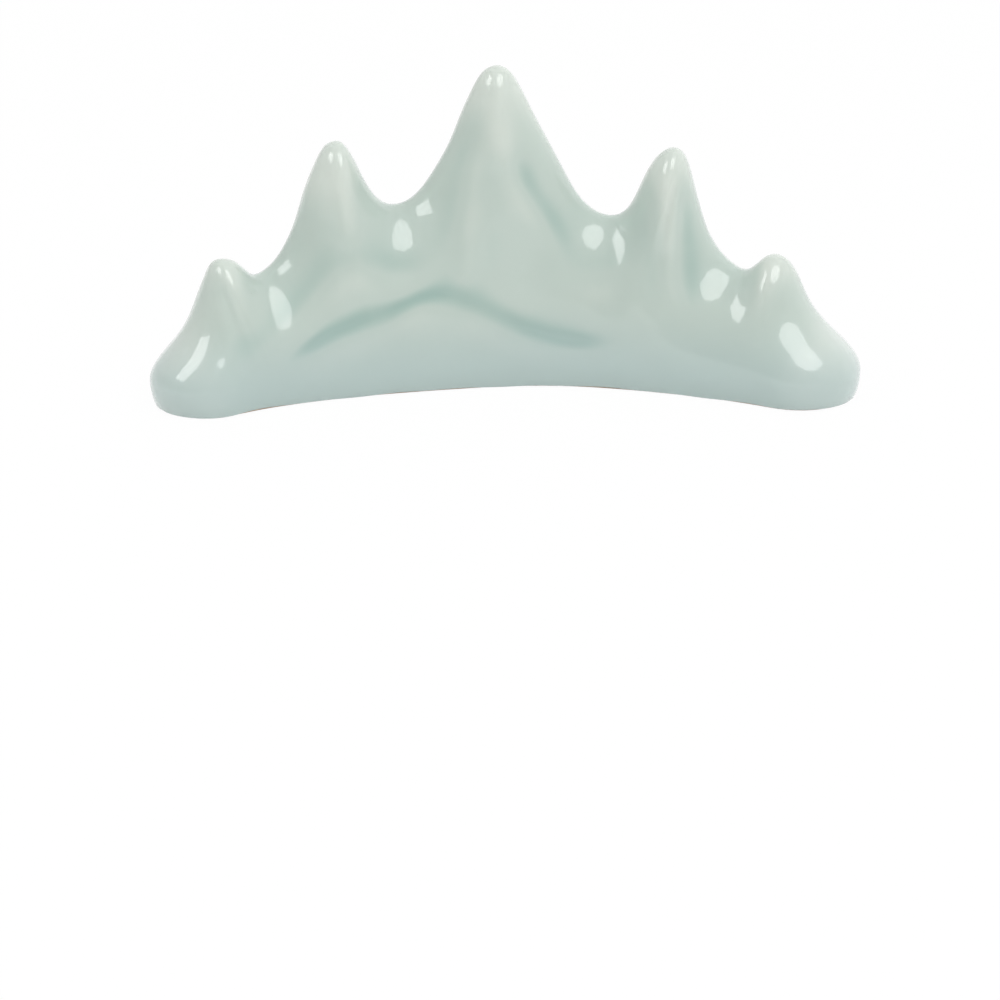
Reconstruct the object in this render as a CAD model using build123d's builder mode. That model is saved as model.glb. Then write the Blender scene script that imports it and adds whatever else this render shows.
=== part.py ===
from build123d import *
import math
import os

# Brush rest in the form of five mountain peaks, millimetres.
# The rest stands on Z = 0 and runs along X. Its ends come forward, towards -Y.
# Three pieces: the fired porcelain shell, the slab that closes it below, and the glaze over it.

# Size of the whole
half_arc = 62.3          # from the middle to each end, along the bend
plan_radius = 97.5       # radius of the bend, seen from above
peak_height = 53.9       # tip of the middle peak
half_depth = 10.8        # half the thickness of the mountains at their foot

# Form of the sections
swell_height = 4.4       # where the foot is widest, above the floor
under_run = 7.0          # how deep below the floor the rounding under the foot would close
crest_radius = 3.3       # rounding of the ridge line
tip_run = 8.8            # over which the ridge line comes down at each end
end_run = 11.5           # over which each end is rounded in plan
bulb_start = 48.0        # from here outwards the sections grow fuller
bulb_run = 10.0
bulb_share = 1.5         # fullness of the sections in the end bulbs
most_crest_share = 1.9
relief_reach = 4.5       # the relief dies out where the ridge is thinner than this

# Walls
glaze_thickness = 0.6
glaze_stop = 0.5         # the glaze ends this far above the floor
wall = 3.6               # glaze and porcelain together
cavity_crest_radius = 1.0
cavity_swell_height = 2.5
cavity_least_height = 5.8   # of its roof above the floor, at the ends
cavity_end_run = 7.0
cavity_under_run = 12.0
cavity_bulb_share = 1.3

# Slab that closes the shell
slab_recess = 0.9
slab_thickness = 3.0
vent_diameter = 5.5

# Stations along the bend, and points up each side of a section
station_count = 118
cavity_station_count = 44
end_crowding_share = 0.25
end_gap = 0.06           # from each end to the last section
next_end_gap = 0.3       # and to the one before it
rise_count = 48
cavity_rise_count = 20
under_count = 8
under_step_share = 2.5   # of a step up the side
crest_crowding_share = 0.1

# Ridge line, left to right: place as a share of half_arc, height as a share of peak_height.
# The five peaks stand at -0.790, -0.465, -0.019, 0.470 and 0.767.
ridge_shares = [
    (-1.070, 0.098), (-1.000, 0.117), (-0.920, 0.228), (-0.865, 0.333), (-0.825, 0.437),
    (-0.790, 0.459), (-0.755, 0.444), (-0.708, 0.395), (-0.655, 0.402), (-0.587, 0.500),
    (-0.533, 0.665), (-0.490, 0.769), (-0.465, 0.787), (-0.435, 0.779), (-0.400, 0.710),
    (-0.360, 0.616), (-0.295, 0.563), (-0.227, 0.599), (-0.160, 0.727), (-0.094, 0.896),
    (-0.055, 0.977), (-0.019, 1.000), (0.018, 0.982), (0.053, 0.917), (0.120, 0.762),
    (0.194, 0.600), (0.290, 0.518), (0.350, 0.567), (0.400, 0.690), (0.437, 0.743),
    (0.470, 0.753), (0.500, 0.715), (0.540, 0.560), (0.580, 0.451), (0.625, 0.397),
    (0.676, 0.385), (0.730, 0.438), (0.767, 0.443), (0.800, 0.412), (0.840, 0.321),
    (0.888, 0.244), (0.940, 0.215), (1.000, 0.205), (1.070, 0.183)]

# Thickness of the foot along the bend, as a share of twice half_depth
foot_width_shares = [
    (-1.0, 1.02), (-0.9, 0.90), (-0.8, 0.85), (-0.6, 0.91), (-0.4, 0.98), (-0.2, 1.00), (0.0, 0.94),
    (0.2, 0.90), (0.4, 0.935), (0.6, 0.94), (0.8, 0.925), (0.9, 0.94), (1.0, 0.955)]

# Relief on the front. Each fold follows a line, given like the ridge line.
# A positive height swells out of the face, a negative one is pressed in.
near_hill_shares = [
    (-0.72, 0.13), (-0.65, 0.165), (-0.55, 0.21), (-0.43, 0.25), (-0.32, 0.29), (-0.23, 0.32),
    (-0.17, 0.315), (-0.11, 0.29), (-0.02, 0.24), (0.08, 0.19), (0.17, 0.165), (0.28, 0.16),
    (0.36, 0.165)]
far_hill_shares = [
    (-0.80, 0.19), (-0.73, 0.235), (-0.64, 0.29), (-0.56, 0.365), (-0.50, 0.42), (-0.43, 0.435),
    (-0.31, 0.41), (-0.22, 0.425), (-0.15, 0.48)]
right_hill_shares = [
    (0.12, 0.42), (0.19, 0.385), (0.27, 0.38), (0.36, 0.40), (0.42, 0.36)]
left_hill_shares = [
    (-0.96, 0.12), (-0.91, 0.15), (-0.81, 0.205), (-0.70, 0.225), (-0.62, 0.21)]
middle_left_groove_shares = [
    (-0.17, 0.45), (-0.145, 0.56), (-0.125, 0.68), (-0.10, 0.80), (-0.07, 0.90)]
middle_left_rib_shares = [
    (-0.125, 0.30), (-0.105, 0.50), (-0.085, 0.68), (-0.06, 0.80)]
middle_dale_shares = [
    (-0.045, 0.33), (-0.035, 0.50), (-0.03, 0.66), (-0.02, 0.80)]
middle_right_rib_shares = [
    (0.165, 0.40), (0.125, 0.47), (0.085, 0.545), (0.03, 0.65), (0.012, 0.75), (0.005, 0.82)]
middle_right_groove_shares = [
    (0.185, 0.395), (0.16, 0.48), (0.125, 0.555), (0.07, 0.63), (0.05, 0.69), (0.04, 0.76)]
fourth_left_groove_shares = [
    (0.445, 0.25), (0.44, 0.36), (0.43, 0.50), (0.42, 0.64), (0.415, 0.70)]
fourth_rib_shares = [
    (0.53, 0.24), (0.495, 0.34), (0.485, 0.50), (0.472, 0.66), (0.468, 0.72)]
fourth_right_groove_shares = [
    (0.545, 0.27), (0.535, 0.38), (0.52, 0.50), (0.505, 0.66), (0.50, 0.70)]
second_rib_shares = [
    (-0.66, 0.27), (-0.60, 0.38), (-0.54, 0.53), (-0.49, 0.68), (-0.475, 0.76)]
second_groove_shares = [
    (-0.545, 0.40), (-0.53, 0.46), (-0.505, 0.56), (-0.475, 0.68)]
first_groove_shares = [
    (-0.80, 0.14), (-0.785, 0.22), (-0.775, 0.31)]

# Relief on the back: a dale below each saddle, a rib below each tall peak and one long hill
back_hill_shares = [
    (-0.66, 0.14), (-0.50, 0.20), (-0.32, 0.255), (-0.12, 0.28), (0.08, 0.265), (0.24, 0.23),
    (0.42, 0.20), (0.58, 0.14)]
back_first_dale_shares = [(-0.68, 0.12), (-0.70, 0.22), (-0.71, 0.33)]
back_second_dale_shares = [(-0.27, 0.24), (-0.285, 0.36), (-0.295, 0.48)]
back_third_dale_shares = [(0.25, 0.24), (0.27, 0.34), (0.285, 0.44)]
back_fourth_dale_shares = [(0.66, 0.12), (0.67, 0.22), (0.675, 0.32)]
back_second_rib_shares = [(-0.50, 0.32), (-0.48, 0.50), (-0.47, 0.68)]
back_middle_rib_shares = [(0.03, 0.38), (0.00, 0.60), (-0.015, 0.82)]
back_fourth_rib_shares = [(0.49, 0.30), (0.475, 0.48), (0.47, 0.64)]

crease_depth, crease_width = -0.48, 1.35
slope_depth, slope_width = -0.3, 2.6
groove_depth, groove_width = -0.35, 1.7
faint_depth, faint_width = -0.18, 2.4
hill_height, hill_width = 0.38, 3.2
rib_height, rib_width = 0.25, 1.8
hill_drop = 3.4          # a hill's swell lies this far below its crease
near_fade = 6.0          # over which a fold dies out at the ends of its line

# Where the ridge line is looked at, as shares of the drop below it, and how much the nearest part counts
look_shares = [-1.2, -1.0, -0.8, -0.6, -0.4, -0.2, 0.0, 0.2, 0.4, 0.6, 0.8, 1.0, 1.2]
look_power = 6


def line_through(shares):
    """The smooth line through points given in shares, as a function of the first coordinate."""
    return cubic_through([(place * half_arc, high * peak_height) for place, high in shares])


def cubic_through(points):
    """Natural cubic through points, flat beyond its ends."""
    count = len(points)
    places, values = [p[0] for p in points], [p[1] for p in points]
    gaps = [b - a for a, b in zip(places, places[1:])]
    ratio, part, bend = [0.0] * count, [0.0] * count, [0.0] * count
    for i in range(1, count - 1):
        turn = 6 * ((values[i + 1] - values[i]) / gaps[i] - (values[i] - values[i - 1]) / gaps[i - 1])
        pivot = 2 * (gaps[i - 1] + gaps[i]) - gaps[i - 1] * ratio[i - 1]
        ratio[i] = gaps[i] / pivot
        part[i] = (turn - gaps[i - 1] * part[i - 1]) / pivot
    for i in range(count - 2, 0, -1):
        bend[i] = part[i] - ratio[i] * bend[i + 1]

    def value_at(place):
        place = min(max(place, places[0]), places[-1])
        i = max(k for k in range(count - 1) if places[k] <= place or k == 0)
        gap, after, before = gaps[i], place - places[i], places[i + 1] - place
        curve = (bend[i] * before**3 + bend[i + 1] * after**3) / (6 * gap)
        left_part = (values[i] / gap - bend[i] * gap / 6) * before
        right_part = (values[i + 1] / gap - bend[i + 1] * gap / 6) * after
        return curve + left_part + right_part

    return value_at


def smooth_step(share):
    """0 to 1 with level ends."""
    share = min(max(share, 0.0), 1.0)
    return share * share * (3 - 2 * share)


def round_off(share):
    """0 to 1 along a quarter of a circle, squared."""
    share = min(max(share, 0.0), 1.0)
    return share * (2 - share)


def lying_fold(shares, height, width, drop=0.0):
    """A fold that runs along the rest, such as the top of a hill."""
    line = line_through(shares)
    first, last = shares[0][0] * half_arc, shares[-1][0] * half_arc

    def rise_at(place, high):
        fade = smooth_step((place - first) / near_fade) * smooth_step((last - place) / near_fade)
        if fade == 0:
            return 0.0
        slope = (line(place + crest_radius) - line(place - crest_radius)) / (2 * crest_radius)
        across = (high - line(place) + drop) / math.hypot(1, slope)
        return height * fade * math.exp(-(across / width) ** 2)

    return rise_at


def standing_fold(shares, height, width):
    """A fold that runs up the face, such as a rib below a peak."""
    points = [(high * peak_height, place * half_arc) for place, high in shares]
    line = cubic_through(points)
    low, top = points[0][0], points[-1][0]

    def rise_at(place, high):
        fade = smooth_step((high - low) / near_fade) * smooth_step((top - high) / near_fade)
        if fade == 0:
            return 0.0
        slope = (line(high + crest_radius) - line(high - crest_radius)) / (2 * crest_radius)
        across = (place - line(high)) / math.hypot(1, slope)
        return height * fade * math.exp(-(across / width) ** 2)

    return rise_at


front_folds = [
    lying_fold(near_hill_shares, crease_depth, crease_width),
    lying_fold(near_hill_shares, hill_height, hill_width, hill_drop),
    lying_fold(far_hill_shares, slope_depth, slope_width),
    lying_fold(far_hill_shares, rib_height, slope_width, hill_drop),
    lying_fold(right_hill_shares, slope_depth, slope_width),
    lying_fold(right_hill_shares, rib_height, slope_width, hill_drop),
    lying_fold(left_hill_shares, faint_depth, faint_width),
    standing_fold(middle_left_groove_shares, groove_depth, groove_width),
    standing_fold(middle_left_rib_shares, rib_height, rib_width),
    standing_fold(middle_dale_shares, faint_depth, faint_width),
    standing_fold(middle_right_rib_shares, rib_height, rib_width),
    standing_fold(middle_right_groove_shares, crease_depth, groove_width),
    standing_fold(fourth_left_groove_shares, crease_depth, faint_width),
    standing_fold(fourth_rib_shares, rib_height, crease_width),
    standing_fold(fourth_right_groove_shares, groove_depth, groove_width),
    standing_fold(second_rib_shares, rib_height, faint_width),
    standing_fold(second_groove_shares, faint_depth, faint_width),
    standing_fold(first_groove_shares, faint_depth, faint_width)]
back_folds = [
    lying_fold(back_hill_shares, slope_depth, slope_width),
    lying_fold(back_hill_shares, rib_height, hill_width, hill_drop),
    standing_fold(back_first_dale_shares, slope_depth, slope_width),
    standing_fold(back_second_dale_shares, slope_depth, hill_width),
    standing_fold(back_third_dale_shares, slope_depth, hill_width),
    standing_fold(back_fourth_dale_shares, slope_depth, slope_width),
    standing_fold(back_second_rib_shares, rib_height, faint_width),
    standing_fold(back_middle_rib_shares, rib_height, hill_width),
    standing_fold(back_fourth_rib_shares, rib_height, faint_width)]

ridge = line_through(ridge_shares)
foot_width = cubic_through([(place * half_arc, share) for place, share in foot_width_shares])


def inset_ridge(inset):
    """The ridge line seen from inside a skin of this thickness."""
    def value_at(place):
        slope = (ridge(place + glaze_thickness) - ridge(place - glaze_thickness)) / (2 * glaze_thickness)
        return ridge(place) - inset * math.hypot(1, slope)
    return value_at


def worn_ridge(inset):
    """A smoother line well under the ridge: the lowest point within reach, less the wall."""
    steps = 2 * cavity_station_count // 3
    points = []
    for k in range(steps + 1):
        place = -half_arc + 2 * half_arc * k / steps
        near = [ridge(place + inset * share) for share in (-1.0, -0.5, 0.0, 0.5, 1.0)]
        points.append((place, max(min(near) - inset, cavity_least_height)))
    return cubic_through(points)


def distance_from(line, place, drop):
    """How far a point this far below the line is from its nearest part, without a break."""
    if drop == 0:
        return 0.0
    high = line(place) - drop
    near = sum(math.hypot(share * drop, line(place + share * drop) - high) ** -look_power
               for share in look_shares)
    level = sum(math.hypot(1, share) ** -look_power for share in look_shares)
    return (near / level) ** (-1 / look_power)


class Form:
    """The mountains' form, drawn in from the outer skin by the inset."""

    def __init__(self, inset, crest, swell, end, under, bulb, folds, line):
        self.crest, self.swell, self.end, self.under = crest, swell, end, under
        self.bulb, self.folds, self.line = bulb, folds, line
        self.reach = half_arc - inset
        self.inset = inset

    def side_point(self, place, side, rise):
        """Across and up, on one side of the section: rise 1 at the ridge, 0 at the swell, -1 below."""
        left = self.reach - abs(place)
        tall = self.line(place) - self.swell
        tip = math.sqrt(round_off(left / tip_run))
        closing = math.sqrt(round_off(left / self.end))
        half = (half_depth * foot_width(place) - self.inset) * closing
        if rise >= 0:
            fall = 1 - rise
            fall = fall * fall * (1 + crest_crowding_share) / (fall + crest_crowding_share)
            stand = tall * (1 - fall)
            away = distance_from(self.line, place, tall * fall)
            full = min(2 * self.crest * (away + stand) / half_depth**2, most_crest_share)
            full += (self.bulb - full) * smooth_step((abs(place) - bulb_start) / bulb_run)
            part = away / (away + stand)
            square = full * part + (3 - 2 * full) * part**2 + (full - 2) * part**3
            high = self.swell + stand * tip
        else:
            turn = math.radians(90) * -rise
            square = math.cos(turn) ** 2 if rise > -1 else 0.0
            high = self.swell - (self.swell + self.under) * closing * math.sin(turn)
        out = half * math.sqrt(max(square, 0.0))
        if out > 0:
            folds = self.folds[0 if side < 0 else 1] if self.folds else []
            out += smooth_step(out / relief_reach) * sum(fold(place, high) for fold in folds)
        return side * out, high

    def side(self, place, side, count):
        rises = [1 - k / count for k in range(count + 1)]
        rises += [-(k + 1) / under_count for k in range(under_count)]
        return [self.side_point(place, side, rise) for rise in rises]


skin = Form(0.0, crest_radius, swell_height, end_run, under_run, bulb_share,
            (front_folds, back_folds), ridge)
body = Form(glaze_thickness, crest_radius - glaze_thickness, swell_height, end_run, under_run,
            bulb_share, (front_folds, back_folds), inset_ridge(glaze_thickness))
hollow = Form(wall, cavity_crest_radius, cavity_swell_height, cavity_end_run, cavity_under_run,
              cavity_bulb_share, None, worn_ridge(wall))


def stations(form, count):
    """Places of the sections, closer together at the ends."""
    places = []
    for k in range(1, count):
        even = -1 + 2 * k / count
        crowded = -math.cos(math.pi * k / count)
        places.append(form.reach * ((1 - end_crowding_share) * even + end_crowding_share * crowded))
    last, before = form.reach - end_gap, form.reach - next_end_gap
    return [-last, -before, *places, before, last]


def depth_middle():
    """How far the middle of the rest's depth lies from the bend's line, in Y."""
    outs = []
    for place in stations(skin, station_count):
        turn = place / plan_radius
        for side in (-1, 1):
            widest = max(abs(across) for across, high in skin.side(place, side, cavity_rise_count))
            outs.append((plan_radius + side * widest) * math.cos(turn) - plan_radius)
    return (max(outs) + min(outs)) / 2


bend_centre = -plan_radius - depth_middle()


def crossing(place):
    """The upright plane across the bend at this place: its X points outwards, its Y up."""
    turn = place / plan_radius
    outwards = (math.sin(turn), math.cos(turn), 0)
    along = (math.cos(turn), -math.sin(turn), 0)
    middle = (plan_radius * math.sin(turn), bend_centre + plan_radius * math.cos(turn), 0)
    return Plane(origin=middle, x_dir=outwards, z_dir=along)


def section(form, place, count):
    """One section, its front and back drawn as two curves from the ridge to below the floor."""
    marks = [k for k in range(count + 1)]
    marks += [count + under_step_share * (k + 1) for k in range(under_count)]
    marks = [mark / marks[-1] for mark in marks]
    plane = crossing(place)
    curves = []
    for side in (-1, 1):
        points = form.side(place, side, count)
        leave = plane.x_dir * (points[1][0] / marks[1])
        arrive = plane.x_dir * (-points[-2][0] / (1 - marks[-2]))
        points = [plane.from_local_coords(Vector(*point)) for point in points]
        curves.append(Edge.make_spline(points, (leave, arrive), parameters=marks, scale=False))
    return Face(Wire(curves))


def sections(form, station_total, count):
    """All that a loft of the form needs, from end to end."""
    return [section(form, place, count) for place in stations(form, station_total)]


body_sections = sections(body, station_count, rise_count)
skin_sections = sections(skin, station_count, rise_count)
hollow_sections = sections(hollow, cavity_station_count, cavity_rise_count)

os.makedirs("parts", exist_ok=True)

# Porcelain shell, hollow from the floor up, with a flat bare foot rim
with BuildPart() as porcelain_shell:
    loft(body_sections)
    split(bisect_by=Plane.XY, keep=Keep.TOP)
    loft(hollow_sections, mode=Mode.SUBTRACT)

# Slab inside the foot rim, set a little above the floor, with the hole that lets air out
with BuildPart() as base_slab:
    loft(hollow_sections)
    split(bisect_by=Plane.XY.offset(slab_recess), keep=Keep.TOP)
    split(bisect_by=Plane.XY.offset(slab_recess + slab_thickness), keep=Keep.BOTTOM)
    with Locations(crossing(0.0).origin + Vector(0, 0, slab_recess + slab_thickness / 2)):
        Cylinder(vent_diameter / 2, slab_thickness * 2, mode=Mode.SUBTRACT)

# Glaze over the shell, stopping short of the floor
with BuildPart() as celadon_glaze:
    loft(skin_sections)
    split(bisect_by=Plane.XY.offset(glaze_stop), keep=Keep.TOP)
    loft(body_sections, mode=Mode.SUBTRACT)

porcelain_shell.part.label = "porcelain_shell"
base_slab.part.label = "base_slab"
celadon_glaze.part.label = "celadon_glaze"
export_step(porcelain_shell.part, "parts/porcelain_shell.step")
export_step(base_slab.part, "parts/base_slab.step")
export_step(celadon_glaze.part, "parts/celadon_glaze.step")

box = celadon_glaze.part.bounding_box()
print("glaze box", box.min, box.max)
print("volumes", porcelain_shell.part.volume, base_slab.part.volume, celadon_glaze.part.volume)
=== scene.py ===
# %% [markdown]
# A celadon brush rest: five mountain peaks on one crescent foot.
# The real thing is a hollow porcelain casting under a pale blue-green glaze. The bare clay shows only
# on the rim that it stands on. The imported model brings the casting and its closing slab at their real
# size. This script adds the glaze as one fine skin, gives every surface its finish, and lights it.

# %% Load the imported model
import math
import bmesh
import bpy
import numpy as np
from mathutils import Matrix, Vector


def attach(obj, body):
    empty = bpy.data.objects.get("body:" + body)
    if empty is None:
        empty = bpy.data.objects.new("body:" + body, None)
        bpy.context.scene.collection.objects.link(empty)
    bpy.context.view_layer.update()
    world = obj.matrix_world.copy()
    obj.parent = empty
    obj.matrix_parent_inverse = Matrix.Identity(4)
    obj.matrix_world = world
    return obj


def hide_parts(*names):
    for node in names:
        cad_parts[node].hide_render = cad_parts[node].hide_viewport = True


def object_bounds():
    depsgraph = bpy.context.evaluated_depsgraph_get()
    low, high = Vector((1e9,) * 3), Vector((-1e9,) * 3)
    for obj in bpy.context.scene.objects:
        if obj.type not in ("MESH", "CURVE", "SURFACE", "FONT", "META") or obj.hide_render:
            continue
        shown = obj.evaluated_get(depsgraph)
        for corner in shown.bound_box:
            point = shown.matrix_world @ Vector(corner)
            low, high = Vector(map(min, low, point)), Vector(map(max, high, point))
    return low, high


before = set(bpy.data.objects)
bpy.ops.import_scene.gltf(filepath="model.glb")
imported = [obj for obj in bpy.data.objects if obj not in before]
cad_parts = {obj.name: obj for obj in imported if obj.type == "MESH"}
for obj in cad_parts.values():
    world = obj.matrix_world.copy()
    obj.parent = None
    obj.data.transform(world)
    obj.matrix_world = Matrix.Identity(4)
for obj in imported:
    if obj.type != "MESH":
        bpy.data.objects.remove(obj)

cad_box = [list(corner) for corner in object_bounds()]
mm = 0.001
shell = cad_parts["porcelain_shell"]
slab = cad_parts["base_slab"]
print("box of the solids, mm:", [[round(v / mm, 1) for v in corner] for corner in cad_box])

# %% [markdown]
# ## The mountains' measures
# The glaze follows the same form as the solids below it, so the same few sizes return here. A rest
# like this could be sculpted by hand. A formula is chosen instead: sections stand across a bend, each
# one thin at the ridge and wide at the foot, and a line of heights says how high each one reaches.

# %% Sizes of the form
half_arc = 62.3 * mm          # from the middle to each end, along the bend
plan_radius = 97.5 * mm
peak_height = 53.9 * mm
half_depth = 10.8 * mm        # half the thickness at the foot
swell_height = 4.4 * mm       # where the foot is widest
under_run = 7.0 * mm
crest_radius = 3.3 * mm
tip_run = 8.8 * mm
end_run = 11.5 * mm
bulb_start, bulb_run, bulb_fullness = 48.0 * mm, 10.0 * mm, 1.5
most_crest = 1.9
relief_reach = 4.5 * mm
glaze_stop = 0.45 * mm        # the glaze ends this far above the table
print("length along the bend, mm:", round(2 * half_arc / mm, 1))


# %% [markdown]
# ## A smooth line through a few points
# The ridge, and every fold in the face, is a line through a few given points. A natural cubic
# goes through them without corners, as a bent strip of wood would, and it costs one small solve.

# %% Smooth line
def smooth_line(points):
    """A function that follows a natural cubic through the points."""
    x, y = np.array(points, float).T
    gap = np.diff(x)
    rows = np.eye(len(x))
    turns = np.zeros(len(x))
    for i in range(1, len(x) - 1):
        rows[i, i - 1:i + 2] = gap[i - 1], 2 * (gap[i - 1] + gap[i]), gap[i]
        turns[i] = 6 * ((y[i + 1] - y[i]) / gap[i] - (y[i] - y[i - 1]) / gap[i - 1])
    bend = np.linalg.solve(rows, turns)

    def value_at(place):
        place = np.clip(place, x[0], x[-1])
        i = np.clip(np.searchsorted(x, place) - 1, 0, len(x) - 2)
        after, before = place - x[i], x[i + 1] - place
        curve = (bend[i] * before**3 + bend[i + 1] * after**3) / (6 * gap[i])
        straight = (y[i] / gap[i] - bend[i] * gap[i] / 6) * before
        return curve + straight + (y[i + 1] / gap[i] - bend[i + 1] * gap[i] / 6) * after

    return value_at


hump = smooth_line([(0, 0), (1, 1), (2, 0)])
print("a smooth hump of height 1, a quarter of the way along:", round(float(hump(0.5)), 3))


# %% [markdown]
# ### Soft steps
# Folds die out along their lines, and the two ends of the rest close. A straight fade would leave a
# mark where it begins, which gloss shows at once. These two formulas start or end softly instead.

# %% Lines in shares, and soft steps
def along(shares):
    """Heights along the rest, from shares of its half length and of its height."""
    return smooth_line([(place * half_arc, high * peak_height) for place, high in shares])


def smooth_step(share):
    """0 to 1 with level ends."""
    share = np.clip(share, 0, 1)
    return share * share * (3 - 2 * share)


def round_off(share):
    """0 to 1 along a quarter of a circle, squared."""
    share = np.clip(share, 0, 1)
    return share * (2 - share)


quarter = [round(float(step(0.25)), 3) for step in (smooth_step, round_off)]
print("soft step and round end, a quarter of the way along:", quarter)

# %% [markdown]
# ## The ridge and the foot
# The ridge is what the eye reads first: five peaks with a dip for a brush between each two. It could be
# traced as a curve object, but a list of places and heights is easier to mend, peak by peak. A second
# list says how thick the foot is along the rest, as shares of its usual thickness.

# %% Ridge line with its five peaks
middle_peak_at = -0.019
ridge = along([
    (-1.070, 0.165), (-1.000, 0.185), (-0.920, 0.225), (-0.865, 0.320), (-0.825, 0.437),
    (-0.790, 0.459), (-0.755, 0.444), (-0.708, 0.395), (-0.655, 0.402), (-0.587, 0.500),
    (-0.533, 0.665), (-0.490, 0.769), (-0.465, 0.787), (-0.435, 0.779), (-0.400, 0.710),
    (-0.360, 0.616), (-0.295, 0.563), (-0.227, 0.599), (-0.160, 0.727), (-0.094, 0.896),
    (-0.055, 0.977), (-0.019, 1.000), (0.018, 0.982), (0.053, 0.917), (0.120, 0.762),
    (0.194, 0.600), (0.290, 0.518), (0.350, 0.567), (0.400, 0.690), (0.437, 0.743),
    (0.470, 0.753), (0.500, 0.715), (0.540, 0.560), (0.580, 0.451), (0.625, 0.397),
    (0.676, 0.385), (0.730, 0.438), (0.767, 0.443), (0.800, 0.412), (0.840, 0.321),
    (0.888, 0.244), (0.940, 0.215), (1.000, 0.205), (1.070, 0.183)])
highest = float(ridge(np.array([middle_peak_at * half_arc]))[0])
print("highest point of the ridge, mm:", round(highest / mm, 1))

# %% Thickness of the foot
foot_shares = [
    (-1.0, 0.96), (-0.9, 0.91), (-0.8, 0.85), (-0.6, 0.91), (-0.4, 0.98), (-0.2, 1.00), (0.0, 0.94),
    (0.2, 0.90), (0.4, 0.935), (0.6, 0.94), (0.8, 0.925), (0.9, 0.94), (1.0, 0.955)]
foot_width = smooth_line([(place * half_arc, width) for place, width in foot_shares])
middle_share = float(foot_width(np.array([0.0]))[0])
print("foot in the middle, mm thick:", round(2 * half_depth / mm * middle_share, 1))


# %% [markdown]
# ## Folds in the face
# On the real rest the hills are soft folds pressed into the mould: a near hill with a crease above
# it, a far hill, ribs that run down from the peaks and grooves beside them. Bump mapping would fake
# them, but the glaze reflects the lights as sharp shapes, and only real relief bends those rightly.
# Each fold is a hump or a furrow of one height and width that follows a line and dies out at its ends.

# %% Two kinds of fold
fade_run = 6.0 * mm           # over which a rib or a groove dies out
tail_run = 10.0 * mm          # and a hill, which does so more slowly


def lying_fold(shares, height, width, drop=0.0):
    """Runs along the rest, like the top of a hill."""
    line = along(shares)
    first, last = shares[0][0] * half_arc, shares[-1][0] * half_arc

    def rise_at(place, high):
        fade = smooth_step((place - first) / tail_run) * smooth_step((last - place) / tail_run)
        slope = (line(place + crest_radius) - line(place - crest_radius)) / (2 * crest_radius)
        across = (high - line(place) + drop) / np.hypot(1, slope)
        return height * fade * np.exp(-(across / width) ** 2)

    return rise_at


def standing_fold(shares, height, width):
    """Runs up the face, like a rib below a peak."""
    line = smooth_line([(high * peak_height, place * half_arc) for place, high in shares])
    low, top = shares[0][1] * peak_height, shares[-1][1] * peak_height

    def rise_at(place, high):
        fade = smooth_step((high - low) / fade_run) * smooth_step((top - high) / fade_run)
        slope = (line(high + crest_radius) - line(high - crest_radius)) / (2 * crest_radius)
        across = (place - line(high)) / np.hypot(1, slope)
        return height * fade * np.exp(-(across / width) ** 2)

    return rise_at


print("a fold dies out over, mm:", round(tail_run / mm), "lying and", round(fade_run / mm), "standing")

# %% [markdown]
# ### Where the folds run
# Each line is noted like the ridge: place along the rest, then height, both as shares. They were set
# one by one, fold by fold, because that is how the carver of the first model would have set them too.

# %% Lines of the hills on the front
near_hill = [
    (-0.72, 0.13), (-0.65, 0.165), (-0.55, 0.21), (-0.43, 0.25), (-0.32, 0.29), (-0.23, 0.32),
    (-0.17, 0.315), (-0.11, 0.29), (-0.02, 0.24), (0.08, 0.19), (0.17, 0.165), (0.28, 0.16),
    (0.36, 0.165)]
far_hill = [
    (-0.80, 0.19), (-0.73, 0.235), (-0.64, 0.29), (-0.56, 0.365), (-0.50, 0.42), (-0.43, 0.435),
    (-0.31, 0.41), (-0.22, 0.425), (-0.15, 0.48)]
right_hill = [(0.12, 0.42), (0.19, 0.385), (0.27, 0.38), (0.36, 0.40), (0.42, 0.36)]
left_hill = [(-0.96, 0.12), (-0.91, 0.15), (-0.81, 0.205), (-0.70, 0.225), (-0.62, 0.21)]
print("points on the near hill's line:", len(near_hill))

# %% Lines of the ribs and grooves on the front
middle_left_groove = [(-0.17, 0.45), (-0.145, 0.56), (-0.125, 0.68), (-0.10, 0.80), (-0.07, 0.90)]
middle_left_rib = [(-0.125, 0.30), (-0.105, 0.50), (-0.085, 0.68), (-0.06, 0.80)]
middle_dale = [(-0.045, 0.33), (-0.035, 0.50), (-0.03, 0.66), (-0.02, 0.80)]
middle_right_rib = [
    (0.165, 0.40), (0.125, 0.47), (0.085, 0.545), (0.03, 0.65), (0.012, 0.75), (0.005, 0.82)]
middle_right_groove = [
    (0.185, 0.395), (0.16, 0.48), (0.125, 0.555), (0.07, 0.63), (0.05, 0.69), (0.04, 0.76)]
middle_right_hollow = [(0.075, 0.60), (0.055, 0.68), (0.04, 0.78)]
fourth_left_groove = [(0.445, 0.25), (0.44, 0.36), (0.43, 0.50), (0.42, 0.64), (0.415, 0.70)]
fourth_rib = [(0.53, 0.24), (0.495, 0.34), (0.485, 0.50), (0.472, 0.66), (0.468, 0.72)]
fourth_right_groove = [(0.545, 0.27), (0.535, 0.38), (0.52, 0.50), (0.505, 0.66), (0.50, 0.70)]
second_rib = [(-0.66, 0.27), (-0.60, 0.38), (-0.54, 0.53), (-0.49, 0.68), (-0.475, 0.76)]
second_groove = [(-0.545, 0.40), (-0.53, 0.46), (-0.505, 0.56), (-0.475, 0.68)]
first_groove = [(-0.80, 0.14), (-0.785, 0.22), (-0.775, 0.31)]
print("points on the middle rib's line:", len(middle_right_rib))

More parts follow.
